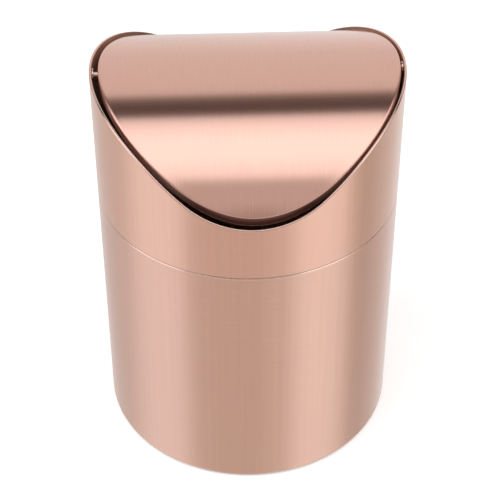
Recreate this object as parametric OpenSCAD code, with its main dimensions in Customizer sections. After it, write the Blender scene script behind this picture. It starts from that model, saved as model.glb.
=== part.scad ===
// Countertop trash can with a swing lid: a round sheet steel can, a collar with a saddle
// shaped rim that lifts off it, and an arched lid that swings on two short pins.
// Millimetres, +Z up, front towards -Y, origin under the middle of the base pad.

/* [Can] */
// Outside diameter of the can and of the collar
body_d = 120; // [104:1:140]
// Height of the seam between can and collar above the table
seam_h = 110.7; // [80:0.1:150]
// Thickness of the steel sheet of the can and the collar
sheet_t = 0.5; // [0.4:0.1:0.8]
// Thickness of a folded edge, outer sheet and fold together
hem_t = 1; // [1:0.1:1.6]
// Depth of the fold at the can's mouth and along the collar's rim
hem_depth = 6; // [4.5:0.5:8]
// Radius on the outer corners of the two edges that meet at the seam
seam_r = 0.25; // [0.1:0.05:0.3]
// How far the wall's foot turns inwards
foot_in = 0.8; // [0.3:0.1:1.2]
// Height over which the wall's foot turns inwards
foot_h = 2; // [1:0.1:3]

/* [Base] */
// Thickness of the pressed base plate
base_t = 0.6; // [0.4:0.1:1]
// Height of the base plate's floor above the wall's lower edge
floor_h = 5; // [4.5:0.1:10]
// Radius of the base plate's bend, on its outside
base_bend_r = 1.2; // [1.1:0.1:2]
// How far the pad stands below the wall's lower edge
pad_proud = 0.4; // [0.2:0.1:1]
// Gap between the pad and the base plate's skirt
pad_gap = 1.5; // [0.5:0.1:3]

/* [Collar] */
// Height of the collar from the seam to the crests of its rim
collar_h = 55.5; // [48:0.1:70]
// How far the rim dips at the front and the back
rim_dip = 32.1; // [26:0.1:36]
// Radius of the rim's dips, measured in the flat sheet
dip_r = 49; // [30:1:80]
// Length of the straight stretch between a dip and a crest, measured in the flat sheet
rim_straight = 13.9; // [2:0.1:20]
// How far the neck ring reaches into the can
neck_plug = 9; // [6:0.5:20]
// How far the neck ring reaches up inside the collar
neck_lap = 8; // [5:0.5:15]
// Radial clearance of the neck ring in the can's mouth
neck_gap = 0.3; // [0.2:0.05:0.6]
// Height of the step between the neck ring's two widths
neck_step = 1; // [0.8:0.1:2]

/* [Lid] */
// Gap between the lid and the rim's fold, all round
lid_gap = 1.8; // [1.6:0.1:3]
// How far the lid's crest stands above the rim's crests
lid_rise = 0.6; // [0.6:0.1:2]
// How far the lid's front edge stays above the rim's dip
lid_sill = 3.6; // [3.5:0.1:8]
// Thickness of the lid's sheet
lid_t = 0.6; // [0.5:0.1:0.8]
// Depth of the lid's turned-down edge
lid_edge = 4.5; // [3:0.1:4.8]
// How far the lid has slid to the right in its side play
lid_shift = 0.6; // [-0.8:0.1:0.8]
// Radius of the ears that hold the lid's bushes
ear_r = 4.2; // [3.8:0.1:6]

/* [Pivots] */
// Depth of the pivot axis below the rim's crests
pivot_drop = 3.3; // [2.8:0.1:4.5]
// Diameter of a pivot pin
pin_d = 2.1; // [1.8:0.1:2.4]
// Length of a pivot pin from the rim's fold
pin_len = 5.4; // [5:0.1:8]
// Chamfer on a pivot pin's tip
pin_tip = 0.3; // [0.1:0.05:0.6]
// Diameter of the washer on each pin, against the rim's fold
washer_d = 5; // [3.4:0.1:5.2]
// Thickness of that washer
washer_t = 0.6; // [0.4:0.1:0.8]
// Radial running clearance of a pin in its bush
pin_fit = 0.06; // [0.03:0.01:0.1]
// Wall thickness of a bush
bush_t = 0.6; // [0.4:0.1:0.8]
// Length of a bush from the lid's outer face
bush_len = 2.6; // [2.2:0.1:3]
// Diameter of a bush's head, inside the lid
bush_head_d = 4.8; // [4:0.1:5]
// Thickness of a bush's head
bush_head_t = 0.8; // [0.5:0.1:1.2]

/* [Hidden] */
$fn = 120;
// Overrun of every cut past the faces that it goes through
cut = 2;
// Gap between pieces that are welded, glued or pushed together
seat_gap = 0.04;
// Number of straight stretches round the collar, over its rim's fold and round its lower corner
rim_steps = 96;
fold_steps = 6;
seam_steps = 2;
// Number of straight stretches down the wall's foot
foot_steps = 4;

body_r = body_d / 2;
wall_r = body_r - sheet_t;
fold_r = body_r - hem_t;
foot_top = pad_proud + foot_h;
foot_r = (foot_in * foot_in + foot_h * foot_h) / (2 * foot_in);
foot_lean = asin(foot_h / foot_r);
crest_z = seam_h + collar_h;
dip_z = crest_z - rim_dip;
pivot_z = crest_z - pivot_drop;

// The rim in the flat sheet: an arc in the dip, a straight stretch, an arc over the crest. The
// stretch is the common tangent of the two arcs, which gives the sum of their radii.
quarter = PI * body_r / 2;
arcs_r = (quarter * quarter + rim_dip * rim_dip - rim_straight * rim_straight) / (2 * rim_dip);
crest_r = arcs_r - dip_r;
rim_slope = asin(arcs_r / norm([quarter, rim_dip - arcs_r])) + atan2(rim_dip - arcs_r, quarter);
dip_run = dip_r * sin(rim_slope);
crest_run = crest_r * sin(rim_slope);

function dip_arc(s) = dip_z + dip_r - sqrt(dip_r * dip_r - s * s);
function rim_line(s) = dip_z + dip_r * (1 - cos(rim_slope)) + (s - dip_run) * tan(rim_slope);
function crest_arc(s) = crest_z - crest_r + sqrt(crest_r * crest_r - (quarter - s) * (quarter - s));
function rim_z(s) = s < dip_run ? dip_arc(s) : s < quarter - crest_run ? rim_line(s) : crest_arc(s);
// Distance along the sheet from the nearest dip to the angle a, which starts at +X.
function along_sheet(a) = quarter * abs(abs(a - 180) / 90 - 1);

lid_r = fold_r - lid_gap;
lid_crest_z = crest_z + lid_rise;
lid_drop = rim_dip + lid_rise - lid_sill;
arch_r = (lid_r * lid_r + lid_drop * lid_drop) / (2 * lid_drop);
arch_z = lid_crest_z - arch_r;

pin_r = pin_d / 2;
washer_r = washer_d / 2;
bore_r = pin_r + pin_fit;
bush_r = bore_r + bush_t;
bush_head_r = bush_head_d / 2;
pin_foot_x = sqrt(fold_r * fold_r - pin_r * pin_r) - seat_gap;
washer_foot_x = sqrt(fold_r * fold_r - washer_r * washer_r) - seat_gap;
bush_mouth_x = sqrt(lid_r * lid_r - bush_r * bush_r) - seat_gap;
bush_head_x = sqrt(pow(lid_r - lid_t, 2) - bush_head_r * bush_head_r) - seat_gap;

steel = [0.83, 0.65, 0.58];
plain_steel = [0.72, 0.70, 0.68];
rubber = [0.10, 0.10, 0.11];
nylon = [0.16, 0.15, 0.15];

// A rectangle from corner low to corner high, in the plane that rotate_extrude turns.
module band(low, high) {
    translate(low) square([high[0] - low[0], high[1] - low[1]]);
}

// A solid cylinder along X, from x = start to x = end, at height z.
module bar(r, start, end, z) {
    translate([start, 0, z]) rotate([0, 90, 0]) cylinder(h = end - start, r = r);
}

// Points along an arc about c, from one angle to another, in steps.
function arc_points(c, r, from, to, steps) =
    [for (i = [0 : steps]) let (a = from + (to - from) * i / steps) c + r * [cos(a), sin(a)]];

// The collar's section as [radius, height], where its folded and rounded rim is at height top.
function collar_section(top) = concat(
    arc_points([body_r - seam_r, seam_h + seam_r], seam_r, -90, 0, seam_steps),
    arc_points([body_r - hem_t / 2, top - hem_t / 2], hem_t / 2, 0, 180, fold_steps),
    [[fold_r, top - hem_depth], [wall_r, top - hem_depth], [wall_r, seam_h]]
);

// One side of the foot's bend, inset from the wall's outside, between two angles from the horizontal.
function foot_arc(inset, from, to) = arc_points([body_r - foot_r, foot_top], foot_r - inset, from, to, foot_steps);

// The can: a rolled and welded tube whose mouth is folded inwards and whose foot turns in a little.
module can_wall() {
    color(steel) rotate_extrude() difference() {
        union() {
            polygon(concat(foot_arc(sheet_t, 0, -foot_lean), foot_arc(0, -foot_lean, 0),
                [[body_r, seam_h], [wall_r, seam_h]]));
            band([fold_r, seam_h - hem_depth], [wall_r, seam_h]);
        }
        seam_corner(seam_h, -1);
    }
}

// What rounds the outer corner of an edge at height z; way is -1 for a top edge, 1 for a lower one.
module seam_corner(z, way) {
    difference() {
        translate([body_r, z]) square(2 * seam_r, center = true);
        translate([body_r - seam_r, z + way * seam_r]) circle(seam_r);
        band([body_r - 2 * seam_r, z - 2 * seam_r], [body_r - seam_r, z + 2 * seam_r]);
    }
}

// The base plate: a pressed disc with a turned-down skirt, welded inside the wall.
module base_plate() {
    out_r = wall_r - seat_gap;
    top = pad_proud + floor_h;
    color(plain_steel) rotate_extrude() difference() {
        union() {
            band([0, foot_top], [out_r - base_bend_r, top]);
            band([0, foot_top], [out_r, top - base_bend_r]);
            translate([out_r - base_bend_r, top - base_bend_r]) circle(base_bend_r);
        }
        band([-cut, foot_top - cut], [out_r - base_bend_r, top - base_t]);
        band([-cut, foot_top - cut], [out_r - base_t, top - base_bend_r]);
        translate([out_r - base_bend_r, top - base_bend_r]) circle(base_bend_r - base_t);
    }
}

// The non-slip pad, glued in the base plate's recess and standing a little proud of it.
module base_pad() {
    pad_r = wall_r - seat_gap - base_bend_r - pad_gap;
    color(rubber) cylinder(h = pad_proud + floor_h - base_t - seat_gap, r = pad_r);
}

// The collar: a rolled tube cut to a saddle shaped rim, with the rim folded inwards.
module collar_shell() {
    turn = [for (i = [0 : rim_steps - 1]) i * 360 / rim_steps];
    n = len(collar_section(crest_z));
    rings = [for (a = turn) for (p = collar_section(rim_z(along_sheet(a))))
        [p[0] * cos(a), p[0] * sin(a), p[1]]];
    sides = [for (i = [0 : rim_steps - 1]) for (k = [0 : n - 1])
        let (here = i * n, there = (i + 1) % rim_steps * n, m = (k + 1) % n)
        each [[here + k, here + m, there + m], [here + k, there + m, there + k]]];
    color(steel) polyhedron(points = rings, faces = sides);
}

// The neck ring: a stepped sleeve, welded inside the collar, that plugs into the can's mouth.
module neck_ring() {
    plug_r = fold_r - neck_gap;
    lap_r = wall_r - seat_gap;
    step_z = seam_h + neck_gap;
    color(plain_steel) rotate_extrude() polygon([
        [plug_r - sheet_t, seam_h - neck_plug], [plug_r, seam_h - neck_plug], [plug_r, step_z],
        [lap_r, step_z + neck_step], [lap_r, seam_h + neck_lap], [lap_r - sheet_t, seam_h + neck_lap],
        [lap_r - sheet_t, step_z + neck_step], [plug_r - sheet_t, step_z]
    ]);
}

// A pivot pin on the right: welded to the rim's fold, pointing inwards, with a chamfered tip.
module pin() {
    tip_x = pin_foot_x - pin_len;
    color(plain_steel) translate([tip_x, 0, pivot_z]) rotate([0, 90, 0]) rotate_extrude() polygon([
        [0, 0], [pin_r - pin_tip, 0], [pin_r, pin_tip], [pin_r, pin_len], [0, pin_len]
    ]);
}

// A washer on the right: a flat ring on the pin, against the rim's fold.
module washer() {
    color(plain_steel) difference() {
        bar(washer_r, washer_foot_x - washer_t, washer_foot_x, pivot_z);
        bar(pin_r + seat_gap, washer_foot_x - washer_t - cut, washer_foot_x + cut, pivot_z);
    }
}

// A bush on the right: pushed through the lid's ear from inside, its head against the ear.
module bush() {
    color(nylon) difference() {
        union() {
            bar(bush_r, bush_mouth_x - bush_len, bush_mouth_x, pivot_z);
            bar(bush_head_r, bush_head_x - bush_head_t, bush_head_x, pivot_z);
        }
        bar(bore_r, bush_mouth_x - bush_len - cut, bush_mouth_x + cut, pivot_z);
    }
}

module right_pin() { pin(); }
module left_pin() { mirror([1, 0, 0]) pin(); }
module right_washer() { washer(); }
module left_washer() { mirror([1, 0, 0]) washer(); }
module right_bush() { translate([lid_shift, 0, 0]) bush(); }
module left_bush() { translate([lid_shift, 0, 0]) mirror([1, 0, 0]) bush(); }

// The lid's solid under its arch, narrowed all over by inset, down to the level of the dip.
module arch_solid(inset) {
    intersection() {
        translate([0, 0, dip_z - inset]) cylinder(h = rim_dip + lid_rise + cut, r = lid_r - inset);
        bar(arch_r - inset, -lid_r - cut, lid_r + cut, arch_z);
    }
}

// The two ears' outline, seen along the pivot axis: a half round below the axis, straight above.
module ears() {
    bar(ear_r, -lid_r - cut, lid_r + cut, pivot_z);
    translate([-lid_r - cut, -ear_r, pivot_z]) cube([2 * (lid_r + cut), 2 * ear_r, pivot_drop + lid_rise]);
}

// The lid: one pressed sheet, arched from front to back, with a turned-down edge and two ears.
module lid_shell() {
    color(steel) translate([lid_shift, 0, 0]) difference() {
        arch_solid(0);
        arch_solid(lid_t);
        difference() {
            bar(arch_r, -lid_r - cut, lid_r + cut, arch_z - lid_edge);
            ears();
        }
        bar(bush_r + seat_gap, -lid_r - cut, lid_r + cut, pivot_z);
    }
}

can_wall();
base_plate();
base_pad();
collar_shell();
neck_ring();
left_pin();
right_pin();
left_washer();
right_washer();
lid_shell();
left_bush();
right_bush();
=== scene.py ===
"""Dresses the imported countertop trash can: a round can, a collar with a saddle shaped rim, and a swing lid.

Metres, +Z up, the front towards -Y. Sizes in the classes are in millimetres, as on a maker's drawing.
"""

import logging
import math
from dataclasses import dataclass
from enum import Enum
from typing import Sequence, Union

import bmesh
import bpy
from mathutils import Matrix, Vector


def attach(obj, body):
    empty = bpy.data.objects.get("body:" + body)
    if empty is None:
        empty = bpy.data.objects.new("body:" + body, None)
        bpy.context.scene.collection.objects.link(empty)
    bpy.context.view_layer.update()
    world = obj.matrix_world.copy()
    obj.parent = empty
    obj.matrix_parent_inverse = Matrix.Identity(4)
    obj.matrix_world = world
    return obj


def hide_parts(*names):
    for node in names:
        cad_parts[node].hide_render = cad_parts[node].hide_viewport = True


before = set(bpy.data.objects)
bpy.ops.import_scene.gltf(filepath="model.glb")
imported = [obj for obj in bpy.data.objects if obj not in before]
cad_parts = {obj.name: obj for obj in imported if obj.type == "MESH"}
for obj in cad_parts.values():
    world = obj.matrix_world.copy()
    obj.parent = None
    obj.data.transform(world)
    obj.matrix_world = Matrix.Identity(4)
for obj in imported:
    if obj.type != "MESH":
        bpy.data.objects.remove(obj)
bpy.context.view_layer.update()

LOG = logging.getLogger("trash_can")
MM = 0.001
WEAR_AND_PAINTED_LIGHT = "wear"
SIDES = ((True, "left"), (False, "right"))

Tree = bpy.types.NodeTree
Socket = bpy.types.NodeSocket
Value = Union[float, tuple, Socket]
Point = tuple[float, float, float, float]
Tint = tuple[float, float, float, float]
Triple = tuple[float, float, float]
Section = list[Triple]


# Sections and turned shapes


@dataclass(frozen=True)
class Corner:
    """A corner of a section in millimetres, with its rounding radius and its mark: 1 is a rubbed, paler and
    polished edge, in places also a painted highlight; -1 is dull, and below -0.5 painted shade.
    """

    out: float
    up: float
    radius: float = 0.0
    wear: float = 0.0


def rounded(corners: Sequence[Corner], closed: bool = True, steps: int = 5) -> Section:
    """Rounds the corners of a section.

    Args:
        corners: the section's corners in order.
        closed: whether the last corner joins the first.
        steps: stretches in each rounding.

    Returns:
        Points as (out, up, wear and painted light).
    """
    points: Section = []
    count = len(corners)
    for i, corner in enumerate(corners):
        at_end = not closed and i in (0, count - 1)
        if corner.radius <= 0 or at_end:
            points.append((corner.out, corner.up, corner.wear))
            continue
        here = Vector((corner.out, corner.up))
        before, after = corners[i - 1], corners[(i + 1) % count]
        back = Vector((before.out, before.up)) - here
        ahead = Vector((after.out, after.up)) - here
        half = back.angle(ahead) / 2
        run = min(corner.radius / math.tan(half), 0.49 * back.length, 0.49 * ahead.length)
        radius = run * math.tan(half)
        start, end = here + back.normalized() * run, here + ahead.normalized() * run
        middle = here + (back.normalized() + ahead.normalized()).normalized() * (radius / math.sin(half))
        first, last = start - middle, end - middle
        turn = first.angle_signed(last)
        for k in range(steps + 1):
            arm = first.copy()
            arm.rotate(Matrix.Rotation(-turn * k / steps, 2))
            points.append((middle.x + arm.x, middle.y + arm.y, corner.wear))
    return points


def put(name: str, data: bpy.types.ID) -> bpy.types.Object:
    """Puts a new object in the scene.

    Args:
        name: the object's name.
        data: its mesh, lamp or camera.

    Returns:
        The new object.
    """
    obj = bpy.data.objects.new(name, data)
    bpy.context.scene.collection.objects.link(obj)
    return obj


def loft(name: str, rings: Sequence[Sequence[Point]], closed: bool) -> bpy.types.Object:
    """Joins the sections round an axis into one closed mesh.

    Args:
        name: the piece's name.
        rings: one section for each angle, as points (x, y, z, wear and painted light) in millimetres.
        closed: whether a section is a closed loop. If not, its ends lie on the axis.

    Returns:
        The new object, in the scene.
    """
    shape = bmesh.new()
    layer = shape.verts.layers.float.new(WEAR_AND_PAINTED_LIGHT)

    def vertex(point: Point) -> bmesh.types.BMVert:
        """Adds one point.

        Args:
            point: its place in millimetres, and its wear and painted light.

        Returns:
            The new vertex.
        """
        v = shape.verts.new((point[0] * MM, point[1] * MM, point[2] * MM))
        v[layer] = point[3]
        return v

    inner = [ring if closed else ring[1:-1] for ring in rings]
    grid = [[vertex(p) for p in ring] for ring in inner]
    for i, ring in enumerate(grid):
        following = grid[(i + 1) % len(grid)]
        last = len(ring) if closed else len(ring) - 1
        for k in range(last):
            m = (k + 1) % len(ring)
            shape.faces.new((ring[k], ring[m], following[m], following[k]))
    if not closed:
        for pole, k in ((vertex(rings[0][0]), 0), (vertex(rings[0][-1]), -1)):
            for i, ring in enumerate(grid):
                shape.faces.new((pole, ring[k], grid[(i + 1) % len(grid)][k]))
    bmesh.ops.recalc_face_normals(shape, faces=shape.faces)
    mesh = bpy.data.meshes.new(name)
    shape.to_mesh(mesh)
    shape.free()
    return put(name, mesh)


class Axis(Enum):
    """The axis that a turned piece goes round."""

    UPRIGHT = "z"
    PIVOT = "x"


@dataclass(frozen=True)
class Turned:
    """A turned piece: its section, and the axis that the section goes round."""

    section: Sequence[Triple]
    axis: Axis = Axis.UPRIGHT
    height: float = 0.0
    mirrored: bool = False
    closed: bool = True
    steps: int = 96

    def build(self, name: str) -> bpy.types.Object:
        """Builds the mesh.

        Args:
            name: the piece's name.

        Returns:
            The new object.
        """
        rings = []
        for i in range(self.steps):
            angle = math.tau * i / self.steps
            c, s = math.cos(angle), math.sin(angle)
            if self.axis is Axis.UPRIGHT:
                rings.append([(r * c, r * s, z + self.height, w) for r, z, w in self.section])
            else:
                way = -1 if self.mirrored else 1
                rings.append([(way * x, r * c, r * s + self.height, w) for r, x, w in self.section])
        return loft(name, rings, self.closed)


# Shader wiring


class Wiring:
    """Adds nodes to one node tree and links them."""

    def __init__(self, tree: Tree) -> None:
        """Keeps the tree."""
        self.tree = tree

    def add(self, kind: str, **settings: object) -> bpy.types.Node:
        """Adds a node.

        Args:
            kind: Blender's name of the node type.
            **settings: properties to set on it.

        Returns:
            The node.
        """
        node = self.tree.nodes.new(kind)
        for key, value in settings.items():
            setattr(node, key, value)
        return node

    def feed(self, socket: Socket, source: Value) -> None:
        """Links an input to an output, or sets it to a plain value.

        Args:
            socket: the input.
            source: the output or the plain value.
        """
        if isinstance(source, bpy.types.NodeSocket):
            self.tree.links.new(source, socket)
        else:
            socket.default_value = source

    def math(self, operation: str, *terms: Value) -> Socket:
        """Adds a Math node.

        Args:
            operation: the node's operation.
            *terms: its inputs.

        Returns:
            Its output.
        """
        node = self.add("ShaderNodeMath", operation=operation)
        for socket, term in zip(node.inputs, terms):
            self.feed(socket, term)
        return node.outputs[0]

    def times(self, first: Value, second: Value, *plus: Value) -> Socket:
        """Multiplies two values and adds a third, if there is one."""
        return self.math("MULTIPLY_ADD" if plus else "MULTIPLY", first, second, *plus)

    def span(self, value: Value, low: float, high: float, start: float = 0.0, end: float = 1.0) -> Socket:
        """Maps a value smoothly from one range to another.

        Args:
            value: the value to map.
            low: where the change begins.
            high: where it ends.
            start: the result up to low.
            end: the result from high on.

        Returns:
            The mapped value.
        """
        node = self.add("ShaderNodeMapRange", interpolation_type="SMOOTHSTEP")
        for socket, source in zip(node.inputs, (value, low, high, start, end)):
            self.feed(socket, source)
        return node.outputs[0]

    def blend(self, factor: Value, first: Value, second: Value, way: str = "MIX") -> Socket:
        """Mixes two colours.

        Args:
            factor: share of the second.
            first: a colour.
            second: a colour.
            way: the blend type.

        Returns:
            The mixed colour.
        """
        node = self.add("ShaderNodeMix", data_type="RGBA", blend_type=way)
        self.feed(node.inputs[0], factor)
        self.feed(node.inputs[6], first)
        self.feed(node.inputs[7], second)
        return node.outputs[2]

    def group(self, tree: Tree, **sources: Value) -> bpy.types.Node:
        """Places a node group.

        Args:
            tree: the group.
            **sources: its inputs by name, with spaces written as underscores.

        Returns:
            The group's node.
        """
        node = self.add("ShaderNodeGroup")
        node.node_tree = tree
        for key, source in sources.items():
            self.feed(node.inputs[key.replace("_", " ")], source)
        return node

    def wear(self) -> Socket:
        """Reads the wear, painted highlights and painted shade that the mesh carries."""
        return self.add("ShaderNodeAttribute", attribute_name=WEAR_AND_PAINTED_LIGHT).outputs["Fac"]

    def combine(self, kind: str, parts: Sequence[Value]) -> Socket:
        """Joins three values.

        Args:
            kind: Blender's name of the node type that joins them.
            parts: the three values.

        Returns:
            The colour or the place that they make.
        """
        node = self.add(kind)
        for socket, part in zip(node.inputs, parts):
            self.feed(socket, part)
        return node.outputs[0]

    def grey(self, value: Value) -> Socket:
        """Makes a grey of one value."""
        return self.combine("ShaderNodeCombineColor", [value] * 3)

    def place(self, parts: Sequence[Value]) -> Socket:
        """Joins three coordinates."""
        return self.combine("ShaderNodeCombineXYZ", parts)

    def sized(self, given: dict[str, Socket]) -> Socket:
        """Joins a group's X, Y and Z, counted in its size in millimetres."""
        size = given["Size mm"]
        return self.place([self.math("DIVIDE", self.times(given[key], 1 / MM), size) for key in "XYZ"])

    def noise(self, place: Socket, dimensions: str, detail: float, roughness: float) -> bpy.types.Node:
        """Adds a noise.

        Args:
            place: its coordinates.
            dimensions: the node's dimensions.
            detail: its detail.
            roughness: its roughness.

        Returns:
            The node.
        """
        node = self.add("ShaderNodeTexNoise", noise_dimensions=dimensions)
        self.feed(node.inputs["Vector"], place)
        for key, value in {"Scale": 1.0, "Detail": detail, "Roughness": roughness}.items():
            self.feed(node.inputs[key], value)
        return node

    def bump(self, shader: bpy.types.Node, strength: float, depth: float, height: Socket) -> None:
        """Gives a shader a bump.

        Args:
            shader: the Principled shader.
            strength: the bump's strength.
            depth: its depth in millimetres.
            height: its height, from 0 to 1.
        """
        node = self.add("ShaderNodeBump")
        self.feed(node.inputs["Strength"], strength)
        self.feed(node.inputs["Distance"], depth * MM)
        self.feed(node.inputs["Height"], height)
        self.feed(shader.inputs["Normal"], node.outputs[0])


def new_group(
    name: str, inputs: dict[str, float], outputs: Sequence[str]
) -> tuple[Tree, Wiring, dict, dict]:
    """Starts a shader node group with plain number sockets.

    Args:
        name: the group's name.
        inputs: its inputs with their usual values.
        outputs: its outputs.

    Returns:
        The group, its wiring, its inputs by name, and the sockets that its outputs are fed through.
    """
    tree = bpy.data.node_groups.new(name, "ShaderNodeTree")
    for key, value in inputs.items():
        socket = tree.interface.new_socket(key, in_out="INPUT", socket_type="NodeSocketFloat")
        socket.default_value = value
    for key in outputs:
        tree.interface.new_socket(key, in_out="OUTPUT", socket_type="NodeSocketFloat")
    wiring = Wiring(tree)
    start = wiring.add("NodeGroupInput")
    end = wiring.add("NodeGroupOutput")
    return tree, wiring, {k: start.outputs[k] for k in inputs}, {k: end.inputs[k] for k in outputs}


class Effects:
    """The effects that the finishes share, each built once as a node group."""

    def __init__(self) -> None:
        """Builds every group."""
        self.unrolled = self._unrolled()
        self.brushing = self._brushing()
        self.drift = self._drift()
        self.speckle = self._speckle()

    @staticmethod
    def _unrolled() -> Tree:
        """Builds the coordinates on the rolled sheet, in millimetres, and the dressed weld at the back.

        Returns:
            The node group.
        """
        tree, w, given, result = new_group(
            "unrolled_sheet", {"X": 0.0, "Y": 0.0, "Z": 0.0, "Radius mm": 60.0}, ("Along", "Up", "Weld")
        )
        angle = w.math("ARCTAN2", given["X"], w.times(given["Y"], -1.0))
        along = w.times(angle, given["Radius mm"])
        edge = w.math("SUBTRACT", w.times(given["Radius mm"], math.pi), w.math("ABSOLUTE", along))
        w.feed(result["Along"], along)
        w.feed(result["Up"], w.times(given["Z"], 1 / MM))
        w.feed(result["Weld"], w.span(edge, 0.25, 0.7, 1.0, 0.0))
        return tree

    @staticmethod
    def _brushing() -> Tree:
        """Builds the brush lines that run along the sheet: long, thin and uneven.

        Returns:
            The node group.
        """
        tree, w, given, result = new_group(
            "brush_lines",
            {"Along": 0.0, "Across": 0.0, "Length mm": 9.0, "Width mm": 0.3, "Seed": 0.0},
            ("Lines", "Glints"),
        )
        along = w.math("DIVIDE", given["Along"], given["Length mm"])
        across = w.math("DIVIDE", given["Across"], given["Width mm"])
        noise = w.noise(w.place((along, across, given["Seed"])), "3D", 3.0, 0.55)
        w.feed(result["Lines"], w.span(noise.outputs[0], 0.25, 0.75))
        # The peaks of the lines, used only for painted glints on the lid's front.
        w.feed(result["Glints"], w.span(noise.outputs[0], 0.6, 0.74))
        return tree

    @staticmethod
    def _drift() -> Tree:
        """Builds a slow drift over the surface, for the coating's tint and for what is rubbed.

        Returns:
            The node group.
        """
        tree, w, given, result = new_group(
            "coating_drift", {"X": 0.0, "Y": 0.0, "Z": 0.0, "Size mm": 30.0, "Seed": 0.0}, ("Drift",)
        )
        noise = w.noise(w.sized(given), "4D", 2.0, 0.5)
        w.feed(noise.inputs["W"], given["Seed"])
        w.feed(result["Drift"], w.span(noise.outputs[0], 0.3, 0.7))
        return tree

    @staticmethod
    def _speckle() -> Tree:
        """Builds the fine even tooth of moulded and foamed surfaces.

        Returns:
            The node group.
        """
        tree, w, given, result = new_group(
            "moulded_tooth", {"X": 0.0, "Y": 0.0, "Z": 0.0, "Size mm": 0.4}, ("Tooth",)
        )
        w.feed(result["Tooth"], w.noise(w.sized(given), "3D", 2.0, 0.6).outputs[0])
        return tree


# Finishes


class Run(Enum):
    """The way that the brush lines run."""

    ROUND = "round the can"
    FRONT_TO_BACK = "from front to back"


@dataclass(frozen=True)
class Finish:
    """A finish with its main colour."""

    name: str
    color: Triple

    def wire(self, w: Wiring, shader: bpy.types.Node, spot: Sequence[Socket], effects: Effects) -> None:
        """Wires the finish.

        Args:
            w: the material's wiring.
            shader: its Principled shader.
            spot: the object's x, y and z.
            effects: the shared node groups.
        """
        raise NotImplementedError

    def build(self, effects: Effects) -> bpy.types.Material:
        """Builds the material.

        Args:
            effects: the shared node groups.

        Returns:
            The material.
        """
        material = bpy.data.materials.new(self.name)
        material.use_nodes = True
        w = Wiring(material.node_tree)
        spread = w.add("ShaderNodeSeparateXYZ")
        w.feed(spread.inputs[0], w.add("ShaderNodeTexCoord").outputs["Object"])
        self.wire(w, material.node_tree.nodes["Principled BSDF"], list(spread.outputs), effects)
        return material


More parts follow.
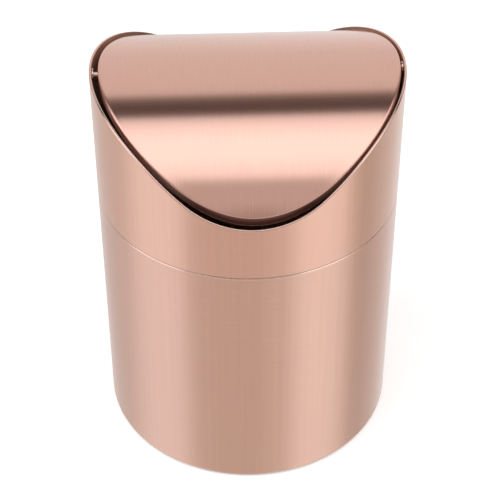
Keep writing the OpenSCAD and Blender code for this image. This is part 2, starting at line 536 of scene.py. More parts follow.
@dataclass(frozen=True)
class BrushedSteel(Finish):
    """Steel sheet with fine straight brush lines, bare or under a thin coloured coating."""

    tint: Triple
    run: Run
    roughness: float = 0.33
    anisotropy: float = 0.9
    line_length: float = 14.0
    line_width: float = 0.32
    line_depth: float = 0.02
    streak_length: float = 160.0
    streak_width: float = 1.6
    streak_depth: float = 0.02
    # Painted light on the lid's front: its depth, the level that splits darkening from brightening, and where
    # it ends.
    front_shade_and_glints: float = 0.0
    glint_shade_split: float = 0.4
    front_shade_edge: tuple[float, float] = (-0.049, -0.044)
    gloss_depth: float = 0.05
    bump: float = 0.05
    bump_depth: float = 0.02
    edge: Triple = (0.68, 0.51, 0.465)
    edge_share: float = 0.7
    edge_polish: float = 0.14
    # Dark brown painted shade, and the dull level where it begins.
    painted_shade: Triple = (0.15, 0.055, 0.035)
    painted_shade_from: float = 0.5
    dull_gloss: float = 0.1
    dull_share: float = 0.5
    weld_shade: float = 0.12
    weld_gloss: float = 0.06
    coat: float = 1.0
    coat_roughness: float = 0.25
    seed: float = 0.0

    def wire(self, w: Wiring, shader: bpy.types.Node, spot: Sequence[Socket], effects: Effects) -> None:
        """Wires the finish.

        Args:
            w: the material's wiring.
            shader: its Principled shader.
            spot: the object's x, y and z.
            effects: the shared node groups.
        """
        x, y, z = spot
        round_it = self.run is Run.ROUND
        if round_it:
            sheet = w.group(effects.unrolled, X=x, Y=y, Z=z)
            along, across, weld = (sheet.outputs[k] for k in ("Along", "Up", "Weld"))
        else:
            along, across = (w.times(v, 1 / MM) for v in (y, x))
        lines = w.group(
            effects.brushing, Along=along, Across=across, Length_mm=self.line_length,
            Width_mm=self.line_width, Seed=self.seed,
        )
        drift = w.group(effects.drift, X=x, Y=y, Z=z, Seed=self.seed)
        state = w.wear()
        wear = w.math("MAXIMUM", state, 0.0)
        dull = w.math("MAXIMUM", w.times(state, -1.0), 0.0)

        coat = w.blend(drift.outputs["Drift"], (*self.color, 1.0), (*self.tint, 1.0))
        # Rubbed edges take the paler edge colour; on the can's mouth and the lid's back bend this is also a
        # painted glint or highlight.
        coat = w.blend(w.times(wear, self.edge_share), coat, (*self.edge, 1.0))
        # Painted shade: past the given dull level the coat turns dark brown, for the shade in the collar's
        # back fold and under the lid's front.
        coat = w.blend(w.span(dull, self.painted_shade_from, 1.0), coat, (*self.painted_shade, 1.0))
        shade = w.times(lines.outputs["Lines"], 2 * self.line_depth, 1 - self.line_depth)
        if round_it:
            streaks = w.group(
                effects.brushing, Along=across, Across=along, Length_mm=self.streak_length,
                Width_mm=self.streak_width, Seed=self.seed + 3.0,
            )
            slow = w.times(streaks.outputs["Lines"], 2 * self.streak_depth, 1 - self.streak_depth)
            shade = w.times(shade, slow)
            shade = w.times(shade, w.times(weld, -self.weld_shade, 1.0))
        # Painted light on the lid's front: it is darkened a little as painted shade, with bright streaks as
        # painted glints where the lines peak.
        if self.front_shade_and_glints:
            front = w.span(y, *self.front_shade_edge, self.front_shade_and_glints, 0.0)
            glint_or_shade = w.math("SUBTRACT", lines.outputs["Glints"], self.glint_shade_split)
            shade = w.times(shade, w.times(front, glint_or_shade, 1.0))
        w.feed(shader.inputs["Base Color"], w.blend(1.0, coat, w.grey(shade), "MULTIPLY"))

        gloss = w.times(lines.outputs["Lines"], -self.gloss_depth, self.roughness + self.gloss_depth / 2)
        gloss = w.times(wear, -self.edge_polish, gloss)
        gloss = w.times(dull, self.dull_gloss, gloss)
        if round_it:
            gloss = w.times(weld, self.weld_gloss, gloss)
        grain_way = w.add("ShaderNodeTangent", direction_type="RADIAL", axis="Z" if round_it else "X")
        for key, source in {
            "Roughness": gloss, "Metallic": w.times(dull, -self.dull_share, 1.0),
            "Anisotropic": self.anisotropy, "Anisotropic Rotation": 0.25, "Tangent": grain_way.outputs[0],
            "Coat Weight": self.coat, "Coat Roughness": self.coat_roughness,
        }.items():
            w.feed(shader.inputs[key], source)
        w.bump(shader, self.bump, self.bump_depth, lines.outputs["Lines"])


@dataclass(frozen=True)
class TurnedSteel(Finish):
    """Bright turned steel, with faint tool rings."""

    roughness: float = 0.28
    ring_length: float = 6.0
    ring_width: float = 0.12
    ring_shade: float = 0.1
    ring_low: float = 0.92
    ring_gloss: float = 0.05
    ring_dull: float = 0.02
    edge_polish: float = 0.05
    bump: float = 0.1
    bump_depth: float = 0.02
    seed: float = 5.0

    def wire(self, w: Wiring, shader: bpy.types.Node, spot: Sequence[Socket], effects: Effects) -> None:
        """Wires the finish.

        Args:
            w: the material's wiring.
            shader: its Principled shader.
            spot: the object's x, y and z.
            effects: the shared node groups.
        """
        x, y, z = spot
        rings = w.group(
            effects.brushing, Along=w.times(y, 1 / MM), Across=w.times(x, 1 / MM),
            Length_mm=self.ring_length, Width_mm=self.ring_width, Seed=self.seed,
        )
        shade = w.times(rings.outputs["Lines"], self.ring_shade, self.ring_low)
        w.feed(shader.inputs["Base Color"], w.blend(1.0, (*self.color, 1.0), w.grey(shade), "MULTIPLY"))
        gloss = w.times(rings.outputs["Lines"], -self.ring_gloss, self.roughness + self.ring_dull)
        w.feed(shader.inputs["Roughness"], w.times(w.wear(), -self.edge_polish, gloss))
        w.feed(shader.inputs["Metallic"], 1.0)
        w.bump(shader, self.bump, self.bump_depth, rings.outputs["Lines"])


@dataclass(frozen=True)
class Moulded(Finish):
    """A moulded or foamed black part with a fine tooth and rubbed edges."""

    rubbed: Triple
    roughness: float
    tooth: float
    patch_size: float = 12.0
    rub_spread: float = 0.5
    rub_least: float = 0.3
    tooth_gloss: float = 0.12
    bump: float = 0.5
    bump_depth: float = 0.05
    seed: float = 2.0

    def wire(self, w: Wiring, shader: bpy.types.Node, spot: Sequence[Socket], effects: Effects) -> None:
        """Wires the finish.

        Args:
            w: the material's wiring.
            shader: its Principled shader.
            spot: the object's x, y and z.
            effects: the shared node groups.
        """
        x, y, z = spot
        tooth = w.group(effects.speckle, X=x, Y=y, Z=z, Size_mm=self.tooth)
        drift = w.group(effects.drift, X=x, Y=y, Z=z, Size_mm=self.patch_size, Seed=self.seed)
        rub = w.times(w.wear(), w.times(drift.outputs["Drift"], self.rub_spread, self.rub_least))
        w.feed(shader.inputs["Base Color"], w.blend(rub, (*self.color, 1.0), (*self.rubbed, 1.0)))
        w.feed(shader.inputs["Roughness"], w.times(tooth.outputs["Tooth"], self.tooth_gloss, self.roughness))
        w.bump(shader, self.bump, self.bump_depth, tooth.outputs["Tooth"])


class Finishes:
    """Every finish on the part, built once."""

    COPPER = (0.916, 0.520, 0.397)
    COPPER_WARM = (0.918, 0.528, 0.391)
    CAN_COPPER = (0.873, 0.507, 0.394)
    CAN_COPPER_WARM = (0.875, 0.513, 0.389)
    # Rubbed edge colour of the can, made brighter and warmer so that its mouth shows a painted glint.
    CAN_EDGE_AND_GLINT = (0.92, 0.68, 0.57)
    LID_COPPER = (0.864, 0.504, 0.410)
    LID_COPPER_WARM = (0.866, 0.511, 0.405)
    # Pale cream of the lid's rubbed edges, also used as a painted highlight along the back of the bend.
    LID_EDGE_AND_HIGHLIGHT = (0.98, 0.84, 0.74)
    BARE = (0.62, 0.60, 0.58)

    def __init__(self) -> None:
        """Builds the materials."""
        effects = Effects()
        self.copper_round = BrushedSteel(
            "copper_brushed_round", self.COPPER, self.COPPER_WARM, Run.ROUND
        ).build(effects)
        self.copper_can = BrushedSteel(
            "copper_brushed_can", self.CAN_COPPER, self.CAN_COPPER_WARM, Run.ROUND,
            edge=self.CAN_EDGE_AND_GLINT, seed=19.0,
        ).build(effects)
        self.copper_lid = BrushedSteel(
            "copper_brushed_lid", self.LID_COPPER, self.LID_COPPER_WARM, Run.FRONT_TO_BACK, roughness=0.29,
            anisotropy=0.95, line_length=10.0, line_width=0.3, line_depth=0.035, front_shade_and_glints=0.2,
            gloss_depth=0.012, bump=0.012, edge=self.LID_EDGE_AND_HIGHLIGHT, coat=0.55, coat_roughness=0.18, seed=7.0,
        ).build(effects)
        self.bare_steel = BrushedSteel(
            "plain_steel_sheet", self.BARE, self.BARE, Run.ROUND, roughness=0.4, anisotropy=0.5,
            line_length=20.0, line_width=0.4, line_depth=0.05, edge=self.BARE, painted_shade=self.BARE, coat=0.0,
            seed=11.0,
        ).build(effects)
        self.bright_steel = TurnedSteel("bright_turned_steel", (0.80, 0.56, 0.49)).build(effects)
        self.rubber = Moulded(
            "foam_rubber", (0.03, 0.03, 0.03), (0.09, 0.09, 0.09), roughness=0.78, tooth=0.5
        ).build(effects)
        self.nylon = Moulded(
            "moulded_nylon", (0.04, 0.04, 0.04), (0.08, 0.08, 0.08), roughness=0.42, tooth=0.25
        ).build(effects)


def dress(obj: bpy.types.Object, material: bpy.types.Material, body: str, node: str) -> None:
    """Finishes a piece and ties it to the frame.

    Args:
        obj: the piece.
        material: its finish.
        body: the CAD body that it moves with.
        node: the CAD node that it stands for.
    """
    obj.data.materials.append(material)
    obj.data.polygons.foreach_set("use_smooth", [True] * len(obj.data.polygons))
    normals = obj.modifiers.new("weighted_normals", "WEIGHTED_NORMAL")
    normals.mode = "FACE_AREA"
    normals.keep_sharp = True
    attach(obj, body)
    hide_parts(node)
    LOG.info("%s: %d faces, on %s", obj.name, len(obj.data.polygons), body)


# The can


@dataclass(frozen=True)
class Can:
    """The round can: its wall with the folded mouth, the pressed base plate and the non-slip pad."""

    body_r: float = 60.0
    seam_h: float = 110.7
    sheet_t: float = 0.5
    hem_t: float = 1.0
    hem_depth: float = 6.0
    seam_r: float = 0.25
    foot_in: float = 0.8
    foot_h: float = 2.0
    foot_edge_r: float = 0.15
    base_t: float = 0.6
    floor_h: float = 5.0
    base_bend_r: float = 1.2
    pad_proud: float = 0.4
    pad_gap: float = 1.5
    seat_gap: float = 0.04
    pad_edge_r: float = 0.5
    worn_band: float = 0.8
    mouth_r: float = 0.8
    mouth_wear_and_glint: float = 0.8
    inner_wear: float = -0.2

    @property
    def wall_r(self) -> float:
        """Inner radius of the wall."""
        return self.body_r - self.sheet_t

    @property
    def fold_r(self) -> float:
        """Inner radius of the folded mouth."""
        return self.body_r - self.hem_t

    def foot_bend(self, inset: float, steps: int = 8) -> list[tuple[float, float]]:
        """Points down one side of the bend by which the wall's foot turns in.

        Args:
            inset: 0 on the outside, or the sheet's thickness.
            steps: stretches in the bend.

        Returns:
            Points as (out, up), from the bend's top to the wall's lower edge.
        """
        radius = (self.foot_in ** 2 + self.foot_h ** 2) / (2 * self.foot_in)
        lean = math.asin(self.foot_h / radius)
        middle = self.body_r - radius, self.pad_proud + self.foot_h
        arm = radius - inset
        return [
            (middle[0] + arm * math.cos(lean * k / steps), middle[1] - arm * math.sin(lean * k / steps))
            for k in range(steps + 1)
        ]

    def wall_section(self) -> Section:
        """Works out the section of the wall, with its folded mouth and its turned-in foot.

        Returns:
            The section's points.
        """
        top, end, dull = self.seam_h, self.seam_h - self.hem_depth, self.inner_wear
        inner, outer = self.foot_bend(self.sheet_t), self.foot_bend(0.0)
        return rounded([
            *(Corner(*point, 0.0, dull) for point in inner[:-1]),
            Corner(*inner[-1], self.foot_edge_r, 0.6),
            Corner(*outer[-1], self.foot_edge_r, 0.6),
            *(Corner(*point) for point in reversed(outer[:-1])),
            Corner(self.body_r, top - self.worn_band),
            # The mouth's rounding takes the paler edge colour: a rubbed edge, and partly a painted glint.
            Corner(self.body_r, top, self.mouth_r, self.mouth_wear_and_glint),
            Corner(self.fold_r, top, self.seam_r, self.mouth_wear_and_glint),
            Corner(self.fold_r, top - self.worn_band, 0.0, dull),
            Corner(self.fold_r, end, self.foot_edge_r, dull),
            Corner(self.wall_r, end, 0.0, dull),
        ])

    def base_section(self) -> Section:
        """Works out the section of the base plate: a disc with a turned-down skirt.

        Returns:
            The section's points.
        """
        out = self.wall_r - self.seat_gap
        top, foot = self.pad_proud + self.floor_h, self.pad_proud + self.foot_h
        return rounded([
            Corner(0, top), Corner(out, top, self.base_bend_r, 0.3), Corner(out, foot, self.foot_edge_r, 0.5),
            Corner(out - self.base_t, foot, self.foot_edge_r, 0.5),
            Corner(out - self.base_t, top - self.base_t, self.base_bend_r - self.base_t),
            Corner(0, top - self.base_t),
        ], closed=False, steps=6)

    def pad_section(self) -> Section:
        """Works out the section of the pad: a flat disc with a rounded lower edge.

        Returns:
            The section's points.
        """
        out = self.wall_r - self.seat_gap - self.base_bend_r - self.pad_gap
        top = self.pad_proud + self.floor_h - self.base_t - self.seat_gap
        return rounded([
            Corner(0, top), Corner(out, top, self.foot_edge_r),
            Corner(out, 0, self.pad_edge_r, 1.0), Corner(0, 0),
        ], closed=False, steps=6)

    def build(self, finishes: Finishes) -> None:
        """Builds and dresses the can's pieces.

        Args:
            finishes: the part's finishes.
        """
        wall = Turned(self.wall_section(), steps=288).build("can_wall_rolled")
        dress(wall, finishes.copper_can, "can", "can_wall")
        base = Turned(self.base_section(), closed=False, steps=192).build("base_plate_pressed")
        dress(base, finishes.bare_steel, "can", "base_plate")
        pad = Turned(self.pad_section(), closed=False, steps=192).build("base_pad_moulded")
        dress(pad, finishes.rubber, "can", "base_pad")


# The collar


@dataclass(frozen=True)
class SaddleRim:
    """The collar's rim in the flat sheet: an arc in each dip, a straight stretch, an arc over each crest."""

    body_r: float = 60.0
    crest_z: float = 166.2
    rim_dip: float = 32.1
    dip_r: float = 49.0
    straight: float = 13.9

    @property
    def quarter(self) -> float:
        """Length of the sheet from a dip to a crest."""
        return math.pi * self.body_r / 2

    def height(self, angle: float) -> float:
        """Height of the rim.

        Args:
            angle: angle round the collar from +X, in radians.

        Returns:
            The height of the rim's top.
        """
        arcs_r = (self.quarter ** 2 + self.rim_dip ** 2 - self.straight ** 2) / (2 * self.rim_dip)
        crest_r = arcs_r - self.dip_r
        rise = self.rim_dip - arcs_r
        slope = math.asin(arcs_r / math.hypot(self.quarter, rise)) + math.atan2(rise, self.quarter)
        dip_run, crest_run = self.dip_r * math.sin(slope), crest_r * math.sin(slope)
        dip_z = self.crest_z - self.rim_dip
        turn = math.degrees(angle) % 360
        s = self.quarter * abs(abs(turn - 180) / 90 - 1)
        if s < dip_run:
            return dip_z + self.dip_r - math.sqrt(self.dip_r ** 2 - s * s)
        if s < self.quarter - crest_run:
            return dip_z + self.dip_r * (1 - math.cos(slope)) + (s - dip_run) * math.tan(slope)
        return self.crest_z - crest_r + math.sqrt(crest_r ** 2 - (self.quarter - s) ** 2)


@dataclass(frozen=True)
class Pivots:
    """The two pins with their washers on the collar, and the bushes in the lid's ears."""

    fold_r: float = 59.0
    pivot_z: float = 162.9
    pin_r: float = 1.05
    pin_len: float = 5.4
    pin_tip: float = 0.3
    washer_r: float = 2.5
    washer_t: float = 0.6
    pin_fit: float = 0.06
    bush_t: float = 0.6
    bush_len: float = 2.6
    bush_head_r: float = 2.4
    bush_head_t: float = 0.8
    lid_r: float = 57.2
    lid_t: float = 0.6
    lid_shift: float = 0.6
    seat_gap: float = 0.04
    fine_r: float = 0.12

    @property
    def bush_r(self) -> float:
        """Outer radius of a bush."""
        return self.pin_r + self.pin_fit + self.bush_t

    def pin_section(self) -> Section:
        """Works out the section of a pin, from its tip to its foot on the rim's fold.

        Returns:
            The section's points.
        """
        foot = math.sqrt(self.fold_r ** 2 - self.pin_r ** 2) - self.seat_gap
        tip = foot - self.pin_len
        return rounded([
            Corner(0, tip), Corner(self.pin_r - self.pin_tip, tip, self.fine_r, 1.0),
            Corner(self.pin_r, tip + self.pin_tip, self.fine_r, 1.0), Corner(self.pin_r, foot, self.seat_gap),
            Corner(0, foot),
        ], closed=False)

    def washer_section(self) -> Section:
        """Works out the section of a washer.

        Returns:
            The section's points.
        """
        foot = math.sqrt(self.fold_r ** 2 - self.washer_r ** 2) - self.seat_gap
        hole = self.pin_r + self.seat_gap
        return rounded([
            Corner(hole, foot - self.washer_t, self.fine_r, 1.0),
            Corner(self.washer_r, foot - self.washer_t, self.fine_r, 1.0),
            Corner(self.washer_r, foot, self.fine_r, 0.4), Corner(hole, foot, self.fine_r),
        ])

    def bush_section(self, shift: float) -> Section:
        """Section of a bush: a sleeve with a head inside the lid.

        Args:
            shift: how far the lid has slid outwards on this side.

        Returns:
            The section's points.
        """
        mouth = math.sqrt(self.lid_r ** 2 - self.bush_r ** 2) - self.seat_gap + shift
        head = math.sqrt((self.lid_r - self.lid_t) ** 2 - self.bush_head_r ** 2) - self.seat_gap + shift
        bore, end, back = self.pin_r + self.pin_fit, mouth - self.bush_len, head - self.bush_head_t
        return rounded([
            Corner(bore, end, self.fine_r), Corner(bore, mouth, self.fine_r, 1.0),
            Corner(self.bush_r, mouth, self.fine_r, 1.0), Corner(self.bush_r, head, self.fine_r / 2),
            Corner(self.bush_head_r, head, self.fine_r), Corner(self.bush_head_r, back, self.fine_r, 1.0),
            Corner(self.bush_r, back, self.fine_r / 2), Corner(self.bush_r, end, self.fine_r),
        ])

    def turned(self, name: str, section: Section, left: bool, closed: bool = True) -> bpy.types.Object:
        """Turns one small part round the pivot axis.

        Args:
            name: the piece's name.
            section: its section.
            left: whether it is on the left.
            closed: whether the section is a closed loop.

        Returns:
            The new object.
        """
        return Turned(section, Axis.PIVOT, self.pivot_z, left, closed, 40).build(name)


@dataclass(frozen=True)
class Collar:
    """The collar: the shell with its folded saddle rim, the neck ring inside, and the pins of the lid."""

    rim: SaddleRim
    pivots: Pivots
    can: Can
    neck_plug: float = 9.0
    neck_lap: float = 8.0
    neck_gap: float = 0.3
    neck_step: float = 1.0
    neck_bend_r: float = 0.6
    neck_edge_r: float = 0.2
    neck_fine_r: float = 0.12
    turns: int = 384
    hem_steps: int = 14
    shadow_gap: float = 0.3
    inner_wear: float = -0.5
    # Painted shade on the back of the hem and the fold, and how far round the hem it spreads.
    back_painted_shade: float = -0.9
    hem_back_shade: float = 1.9
    hem_back_shade_reach: float = 0.6

    def shell_section(self, top: float, back: float) -> Section:
        """Section of the shell.

        Args:
            top: height of the rim at this angle.
            back: 1 at the back, 0 from the sides on to the front; it sets how much painted shade the hem's
                inner side and the fold get.

        Returns:
            The section's points.
        """
        can = self.can
        hem_r, low = can.hem_t / 2, can.seam_h + self.shadow_gap
        foot = rounded([
            Corner(can.wall_r, low + can.worn_band, 0.0, self.inner_wear),
            Corner(can.wall_r, low, can.foot_edge_r, 0.5),
            Corner(can.body_r, low, can.foot_edge_r, 0.3), Corner(can.body_r, low + can.worn_band),
        ], closed=False)
        middle_r, middle_z = can.body_r - hem_r, top - hem_r
        hem = [(can.body_r, middle_z - can.worn_band, 0.0)]
        for k in range(self.hem_steps + 1):
            angle = math.pi * k / self.hem_steps
            # Painted shade: at the back the hem's inner side and the fold are marked dark brown, for the
            # shade under the lid.
            back_shade = self.hem_back_shade * back * min(angle / (self.hem_back_shade_reach * math.pi), 1.0) ** 2
            wear_and_painted_light = max(math.sin(angle) - back_shade, self.back_painted_shade)
            hem.append((middle_r + hem_r * math.cos(angle), middle_z + hem_r * math.sin(angle), wear_and_painted_light))
        end, inside = top - can.hem_depth, self.back_painted_shade * back
        fold = rounded([
            Corner(can.fold_r, middle_z - can.foot_edge_r, 0.0, inside),
            Corner(can.fold_r, end, can.foot_edge_r, inside), Corner(can.wall_r, end, 0.0, self.inner_wear),
        ], closed=False)
        return foot + hem + fold

    def neck_section(self) -> Section:
        """Works out the section of the stepped sleeve that plugs into the can's mouth.

        Returns:
            The section's points.
        """
        can = self.can
        plug, lap = can.fold_r - self.neck_gap, can.wall_r - can.seat_gap
        step, low, high = can.seam_h + self.neck_gap, can.seam_h - self.neck_plug, can.seam_h + self.neck_lap
        bend, edge, fine, t = self.neck_bend_r, self.neck_edge_r, self.neck_fine_r, can.sheet_t
        return rounded([
            Corner(plug - t, low, fine, 0.5), Corner(plug, low, edge, 0.8), Corner(plug, step, bend),
            Corner(lap, step + self.neck_step, bend), Corner(lap, high, fine, 0.3),
            Corner(lap - t, high, edge, 0.5), Corner(lap - t, step + self.neck_step, bend),
            Corner(plug - t, step, bend),
        ])

    def build(self, finishes: Finishes) -> None:
        """Builds and dresses the collar's pieces.

        Args:
            finishes: the part's finishes.
        """
        rings = []
        for i in range(self.turns):
            angle = math.tau * i / self.turns
            c, s = math.cos(angle), math.sin(angle)
            section = self.shell_section(self.rim.height(angle), max(s, 0.0) ** 0.5)
            rings.append([(r * c, r * s, z, wear) for r, z, wear in section])
        shell = loft("collar_shell_rolled", rings, closed=True)
        dress(shell, finishes.copper_round, "collar", "collar_shell")
        neck = Turned(self.neck_section(), steps=192).build("neck_ring_stepped")
        dress(neck, finishes.bare_steel, "collar", "neck_ring")
        for left, side in SIDES:
            pin = self.pivots.turned(f"{side}_pin_turned", self.pivots.pin_section(), left, closed=False)
            dress(pin, finishes.bright_steel, "collar", f"{side}_pin")
            washer = self.pivots.turned(f"{side}_washer_turned", self.pivots.washer_section(), left)
            dress(washer, finishes.bright_steel, "collar", f"{side}_washer")


# The lid


@dataclass(frozen=True)
class Lid:
    """The lid: one pressed sheet, arched from front to back, with a rounded turned-down edge and two ears."""

    pivots: Pivots
    rim: SaddleRim
    lid_rise: float = 0.6
    lid_sill: float = 3.6
    edge_depth: float = 4.5
    edge_r: float = 1.0
    edge_lean: float = math.radians(3)
    ear_r: float = 4.2
    ear_slope: float = 4.0
    ear_soft: float = 0.6
    bore_reach: float = 4.0
    inner_wear: float = -0.5
    rear_painted_highlight: float = 1.3
    bend_steps: int = 8
    rings_over: int = 26
    fine_turn: float = 0.5
    coarse_turn: float = 1.5

    @property
    def arch_r(self) -> float:
        """Radius of the arch's outside."""
        drop = self.rim.rim_dip + self.lid_rise - self.lid_sill
        return (self.pivots.lid_r ** 2 + drop ** 2) / (2 * drop)

    @property
    def arch_z(self) -> float:
        """Height of the arch's axis."""
        return self.rim.crest_z + self.lid_rise - self.arch_r

    def _bend(self, s: float, inset: float) -> Triple:
        """Finds where the top runs into the turned-down edge.

        Args:
            s: sine of the angle round the lid.
            inset: 0 on the outside, or the sheet's thickness.

        Returns:
            The distance from the middle where the bend begins, the angle of the top's normal there, and the
            height of the bend's centre.
        """
        radius, arch, out = self.edge_r - inset, self.arch_r - inset, self.pivots.lid_r - inset
        start, lean = out - radius, 0.0
        for _ in range(12):
            slope = start * s * s / math.sqrt(arch ** 2 - (start * s) ** 2)
            lean = math.atan(slope)
            start = out - radius * (1 - math.sin(lean))
        top = self.arch_z + math.sqrt(arch ** 2 - (start * s) ** 2)
        return start, lean, top - radius * math.cos(lean)

    def _edge_low(self, s: float) -> float:
        """Works out the height of the edge's lower side, with the ears hanging lower round the pivots.

        Args:
            s: sine of the angle round the lid.

        Returns:
            The height.
        """
        y = abs(self.pivots.lid_r * s)
        arch = self.arch_z - self.edge_depth + math.sqrt(self.arch_r ** 2 - y * y)
        if y < self.ear_r:
            ear = self.pivots.pivot_z - math.sqrt(self.ear_r ** 2 - y * y)
        else:
            ear = self.pivots.pivot_z + self.ear_slope * (y - self.ear_r)
        near = max(self.ear_soft - abs(arch - ear), 0) / self.ear_soft
        return min(arch, ear) - near * near * self.ear_soft / 4

    def section(self, angle: float) -> list[Point]:
        """Section of the sheet at one angle, from the middle of its top to the middle of its underside.

        Args:
            angle: angle round the lid from +X, in radians.

        Returns:
            Points as (x, y, z, wear and painted light).
        """
        c, s = math.cos(angle), math.sin(angle)
        flat: Section = []
        t = self.pivots.lid_t
        low = self._edge_low(s)
        for inset, out in ((0.0, self.pivots.lid_r), (t, self.pivots.lid_r - t)):
            start, lean, middle = self._bend(s, inset)
            arch, radius, dull = self.arch_r - inset, self.edge_r - inset, self.inner_wear if inset else 0.0
            part = []
            for k in range(self.rings_over):
                r = start * k / self.rings_over
                part.append((r, self.arch_z + math.sqrt(arch ** 2 - (r * s) ** 2), dull))
            end = math.pi / 2 + self.edge_lean
            for k in range(self.bend_steps + 1):
                share = k / self.bend_steps
                a = lean + (end - lean) * share
                # Painted highlight along the back of the bend, in the pale edge colour, and painted shade
                # down the front of the bend.
                painted_highlight = self.rear_painted_highlight * math.sin(math.pi * share) * max(s, 0.0)
                wear_and_painted_light = dull or painted_highlight - share ** 0.8 * max(-s, 0.0) ** 4
                part.append((out - radius + radius * math.sin(a), middle + radius * math.cos(a), wear_and_painted_light))
            foot_r, foot_z = part[-1][0], part[-1][1]
            foot_drop = foot_z - (low + t / 2)
            for k in range(1, 4):
                # Painted shade: the flange is marked dull, and fully dark brown at the front, for the shade
                # in the gap under the lid's front edge.
                wear_and_painted_light = dull or self.inner_wear * (1 + min(1.6 * max(-s, 0.0) ** 8, 1.0))
                down = foot_drop * k / 4
                part.append((foot_r - down * math.tan(self.edge_lean), foot_z - down, wear_and_painted_light))
            flat.extend(reversed(part) if inset else part)
            if not inset:
                tip = foot_r - foot_drop * math.tan(self.edge_lean) - t / 2
                for k in range(7):
                    a = math.pi * k / 6
                    flat.append((tip + t / 2 * math.cos(a), low + t / 2 - t / 2 * math.sin(a), 0.8))
        shift = self.pivots.lid_shift
        return [(r * c + shift, r * s, z, wear) for r, z, wear in flat]

    def angles(self) -> list[float]:
        """Works out the angles of the sections: close together at the ears, wider elsewhere.

        Returns:
            The angles in radians.
        """
        result, turn = [], 0.0
        while turn < 359.99:
            result.append(math.radians(turn))
            near = min(turn % 180, 180 - turn % 180) < 8 - 1e-6
            turn += self.fine_turn if near else self.coarse_turn
        return result

    def bore(self, obj: bpy.types.Object) -> None:
        """Bores the two ears for their bushes.

        Args:
            obj: the lid's mesh object, which is changed.
        """
        p = self.pivots
        radius = p.bush_r + p.seat_gap
        near, far = p.lid_r - self.bore_reach, p.lid_r + self.bore_reach
        section = [(0.0, near, 0.0), (radius, near, 0.0), (radius, far, 0.0), (0.0, far, 0.0)]
        for left in (True, False):
            cutter = Turned(section, Axis.PIVOT, p.pivot_z, left, False, 48).build("ear_cutter")
            cut = obj.modifiers.new("bore", "BOOLEAN")
            cut.operation, cut.solver, cut.object = "DIFFERENCE", "EXACT", cutter
            bpy.context.view_layer.update()
            done = bpy.data.meshes.new_from_object(obj.evaluated_get(bpy.context.evaluated_depsgraph_get()))
            obj.modifiers.remove(cut)
            old, obj.data = obj.data, done
            bpy.data.meshes.remove(old)
            bpy.data.objects.remove(cutter)
        obj.data.name = obj.name

    def build(self, finishes: Finishes) -> None:
        """Builds and dresses the lid's pieces.

        Args:
            finishes: the part's finishes.
        """
        shell = loft("lid_shell_pressed", [self.section(a) for a in self.angles()], closed=False)
        self.bore(shell)
        dress(shell, finishes.copper_lid, "lid", "lid_shell")
        for left, side in SIDES:
            shift = -self.pivots.lid_shift if left else self.pivots.lid_shift
            bush = self.pivots.turned(f"{side}_bush_moulded", self.pivots.bush_section(shift), left)
            dress(bush, finishes.nylon, "lid", f"{side}_bush")


# The studio


@dataclass(frozen=True)
class Panel:
    """A soft-edged panel of the tent, between two angles in degrees and two heights, with its tone."""

    start: float
    end: float
    tone: float
    soft: float = 6.0
    foot: float = -2.0
    head: float = 2.0


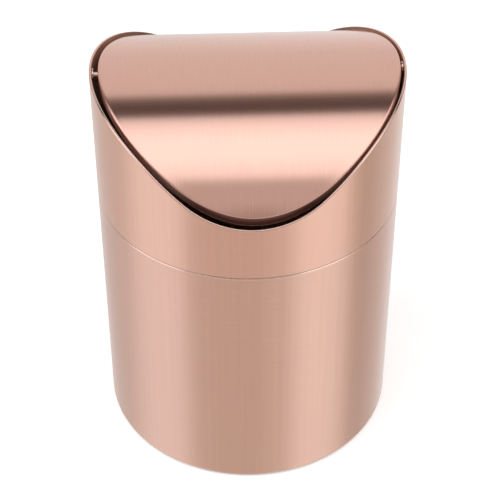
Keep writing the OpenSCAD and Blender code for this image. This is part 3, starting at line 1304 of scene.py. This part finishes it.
@dataclass(frozen=True)
class Studio:
    """A white tent round the part, with grey and bright panels, a pale floor and one soft lamp."""

    side_tone: float = 0.66
    sides: tuple[Panel, ...] = (
        Panel(-181, -150, 0.80, 20), Panel(-97.5, -49.5, 0.88, 9), Panel(-49.5, 12, 0.635, 10),
        Panel(12, 32, 0.70, 10), Panel(32, 78, 0.93, 8), Panel(80, 104, 0.51, 6), Panel(135, 181, 0.88, 30),
    )
    boxes: tuple[Panel, ...] = (Panel(-92, -50, 1.3, 12, 0.1, 0.6), Panel(36, 70, 1.3, 12, 0.1, 0.62))
    height_soft: float = 0.05
    roof_reach: Triple = (0.55, 0.8, 0.4)
    roof_tone: float = 0.757
    roof: tuple[Panel, ...] = (
        Panel(-26.4, -9.9, 0.035, 2.6), Panel(-9.9, 32.6, 1.26, 2.2), Panel(0, 22, 1.0, 16),
        Panel(32.6, 53.5, 0.52, 4), Panel(53.5, 100, 0.15, 8),
    )
    deep_tint: Tint = (1.0, 0.55, 0.45, 1.0)
    shade_tint: Tint = (1.0, 0.945, 0.888, 1.0)
    left_tint: Tint = (1.0, 1.06, 1.12, 1.0)
    right_tint: Tint = (1.0, 1.05, 1.07, 1.0)
    roof_from: float = 0.42
    side_reach: float = 0.4
    deep_tone: float = 0.03
    shade_tone: float = 0.5
    floor_tone: float = 0.8
    floor_lift: float = 0.42
    floor_half: float = 3000.0
    floor_gap: float = 0.05
    lamp_watts: float = 4.0
    lamp_size: tuple[float, float] = (1200.0, 800.0)
    lamp_place: Triple = (-250.0, -350.0, 1250.0)
    lamp_aim: Triple = (0.0, 0.0, 80.0)

    def _panels(
        self, w: Wiring, angle: Socket, height: Socket, base: float, panels: Sequence[Panel]
    ) -> Socket:
        """Adds up a row of panels.

        Args:
            w: the world's wiring.
            angle: the angle that the panels lie along, in degrees.
            height: the height in the tent, from -1 to 1.
            base: the tone between them.
            panels: the panels.

        Returns:
            The tone.
        """
        tone: Value = base
        for panel in panels:
            rise = w.span(angle, panel.start - panel.soft / 2, panel.start + panel.soft / 2)
            fall = w.span(angle, panel.end - panel.soft / 2, panel.end + panel.soft / 2, 1.0, 0.0)
            share = w.times(rise, fall)
            for edge, ends in ((panel.foot, (0.0, 1.0)), (panel.head, (1.0, 0.0))):
                if abs(edge) < 1:
                    level = w.span(height, edge - self.height_soft, edge + self.height_soft, *ends)
                    share = w.times(share, level)
            tone = w.times(share, panel.tone - base, tone)
        return tone

    def tent(self) -> None:
        """Builds the world: white to the camera, the tent to everything else."""
        world = bpy.data.worlds.new("studio_tent")
        world.use_nodes = True
        bpy.context.scene.world = world
        tree = world.node_tree
        tree.nodes.clear()
        w = Wiring(tree)
        way = w.add("ShaderNodeSeparateXYZ")
        w.feed(way.inputs[0], w.add("ShaderNodeTexCoord").outputs["Generated"])
        x, y, z = way.outputs
        front = w.times(y, -1.0)
        round_angle = w.math("DEGREES", w.math("ARCTAN2", x, front))
        over_angle = w.math("DEGREES", w.math("ARCTAN2", front, z))
        sides = self._panels(w, round_angle, z, self.side_tone, self.sides)
        roof = self._panels(w, over_angle, z, self.roof_tone, self.roof)
        near, far, rest = self.roof_reach
        roof = w.times(roof, w.span(w.math("ABSOLUTE", x), near, far, 1.0, rest))
        high = w.span(z, 0.0, self.roof_from)
        tone = w.math("ADD", w.times(roof, high), w.times(sides, w.math("SUBTRACT", 1.0, high)))
        tone = w.math("ADD", tone, self._panels(w, round_angle, z, 0.0, self.boxes))
        rays = w.add("ShaderNodeLightPath")
        lit = w.add("ShaderNodeBackground")
        light = w.blend(w.span(x, -self.side_reach, self.side_reach), self.left_tint, self.right_tint)
        shade = w.blend(w.span(tone, self.deep_tone, self.shade_tone), self.deep_tint, self.shade_tint)
        w.feed(lit.inputs["Color"], w.blend(w.span(tone, self.shade_tone, 1.0), shade, light))
        w.feed(lit.inputs["Strength"], tone)
        white = w.add("ShaderNodeBackground")
        w.feed(white.inputs["Color"], (1.0, 1.0, 1.0, 1.0))
        shown = w.math("MAXIMUM", rays.outputs["Is Camera Ray"], rays.outputs["Is Transmission Ray"])
        mix = w.add("ShaderNodeMixShader")
        w.feed(mix.inputs[0], shown)
        w.feed(mix.inputs[1], lit.outputs[0])
        w.feed(mix.inputs[2], white.outputs[0])
        w.feed(w.add("ShaderNodeOutputWorld").inputs["Surface"], mix.outputs[0])

    def floor(self) -> None:
        """Lays the pale floor, which shows white to the camera and keeps the part's soft shadow."""
        half = self.floor_half * MM
        corners = [(-half, -half, 0), (half, -half, 0), (half, half, 0), (-half, half, 0)]
        mesh = bpy.data.meshes.new("studio_floor")
        mesh.from_pydata(corners, [], [(0, 1, 2, 3)])
        obj = put("studio_floor", mesh)
        obj.location.z = -self.floor_gap * MM
        material = bpy.data.materials.new("pale_floor")
        material.use_nodes = True
        tree = material.node_tree
        tree.nodes.clear()
        w = Wiring(tree)
        paper = w.add("ShaderNodeBsdfDiffuse")
        w.feed(paper.inputs["Color"], (*[self.floor_tone] * 3, 1.0))
        glow = w.add("ShaderNodeEmission")
        rays = w.add("ShaderNodeLightPath")
        w.feed(glow.inputs["Strength"], w.times(rays.outputs["Is Camera Ray"], self.floor_lift))
        both = w.add("ShaderNodeAddShader")
        w.feed(both.inputs[0], paper.outputs[0])
        w.feed(both.inputs[1], glow.outputs[0])
        w.feed(w.add("ShaderNodeOutputMaterial").inputs["Surface"], both.outputs[0])
        mesh.materials.append(material)
        obj.visible_glossy = False

    def lamp(self) -> None:
        """Hangs one large soft lamp over the part, a little to the front and the left."""
        data = bpy.data.lights.new("overhead_softbox", "AREA")
        data.shape = "RECTANGLE"
        data.size, data.size_y = (v * MM for v in self.lamp_size)
        data.energy = self.lamp_watts
        obj = put("overhead_softbox", data)
        obj.location = [v * MM for v in self.lamp_place]
        way = Vector([v * MM for v in self.lamp_aim]) - obj.location
        obj.rotation_euler = way.to_track_quat("-Z", "Y").to_euler()
        obj.visible_camera = False
        obj.visible_glossy = False

    def build(self) -> None:
        """Builds the whole studio."""
        self.tent()
        self.floor()
        self.lamp()
        bpy.context.scene.view_settings.view_transform = "Standard"


@dataclass(frozen=True)
class PhotoCamera:
    """The camera at the photograph's angle: above the front, with a long lens."""

    place: Triple = (-19.58, -488.95, 494.70)
    aim: Triple = (0.83, 0.0, 73.44)
    lens: float = 111.57
    sensor: float = 36.0

    def build(self) -> None:
        """Creates the camera and makes it the scene's."""
        data = bpy.data.cameras.new("photo_camera")
        data.lens, data.sensor_width = self.lens, self.sensor
        data.clip_start, data.clip_end = 0.01, 20.0
        obj = put("photo_camera", data)
        obj.location = Vector(self.place) * MM
        way = Vector(self.aim) * MM - obj.location
        obj.rotation_euler = way.to_track_quat("-Z", "Y").to_euler()
        bpy.context.scene.camera = obj


def main() -> None:
    """Builds the part's pieces in order, then the studio and the camera."""
    logging.basicConfig(level=logging.INFO, format="%(name)s %(message)s")
    PhotoCamera().build()
    finishes = Finishes()
    can, rim, pivots = Can(), SaddleRim(), Pivots()
    for part in (can, Collar(rim, pivots, can), Lid(pivots, rim)):
        part.build(finishes)
    Studio().build()


if __name__ == "__main__":
    main()
